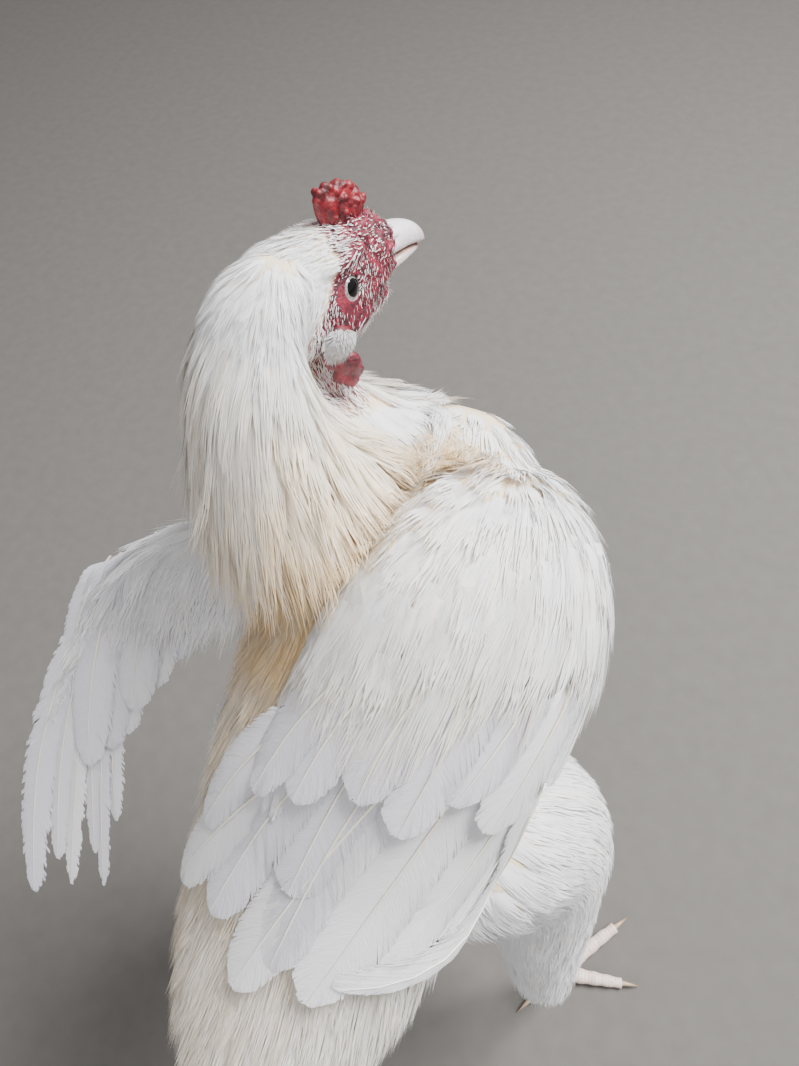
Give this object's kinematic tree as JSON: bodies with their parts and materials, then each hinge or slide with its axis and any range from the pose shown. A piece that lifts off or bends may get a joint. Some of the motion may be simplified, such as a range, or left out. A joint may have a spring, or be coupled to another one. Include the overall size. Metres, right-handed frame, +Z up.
{
  "type": "aseel cock",
  "caption": "Life-size standing white game fowl with an upright body, low comb, folded right wing, dropped half-open left wing and short low tail.",
  "frame": {"origin": "on the floor under the middle of the bird's box", "axes": "+Z up, the bird's body faces -Y, its right side is at -X"},
  "size_m": [0.3868, 0.5084, 0.6582],
  "materials": {
    "plumage": "soft white feather",
    "red_skin": "bare wrinkled skin",
    "horn": "ivory horn",
    "scaled_skin": "pale scutes",
    "eye": "wet"
  },
  "bodies": {
    "root": {"bill_lower": "horn", "bill_upper": "horn", "claw_hind_left": "horn", "claw_hind_right": "horn", "claw_inner_left": "horn", "claw_inner_right": "horn", "claw_middle_left": "horn", "claw_middle_right": "horn", "claw_outer_left": "horn", "claw_outer_right": "horn", "comb": "red_skin", "ear_patch_left": "plumage", "ear_patch_right": "plumage", "earlobe_left": "red_skin", "earlobe_right": "red_skin", "eye_left": "eye", "eye_right": "eye", "foot_left": "scaled_skin", "foot_right": "scaled_skin", "head": "red_skin", "neck": "plumage", "shank_left": "scaled_skin", "shank_right": "scaled_skin", "spur_left": "horn", "spur_right": "horn", "tail": "plumage", "thigh_left": "plumage", "thigh_right": "plumage", "toe_hind_left": "scaled_skin", "toe_hind_right": "scaled_skin", "toe_inner_left": "scaled_skin", "toe_inner_right": "scaled_skin", "toe_middle_left": "scaled_skin", "toe_middle_right": "scaled_skin", "toe_outer_left": "scaled_skin", "toe_outer_right": "scaled_skin", "torso": "plumage", "wing_left_arm": "plumage", "wing_left_hand": "plumage", "wing_right": "plumage"}
  },
  "joints": []
}
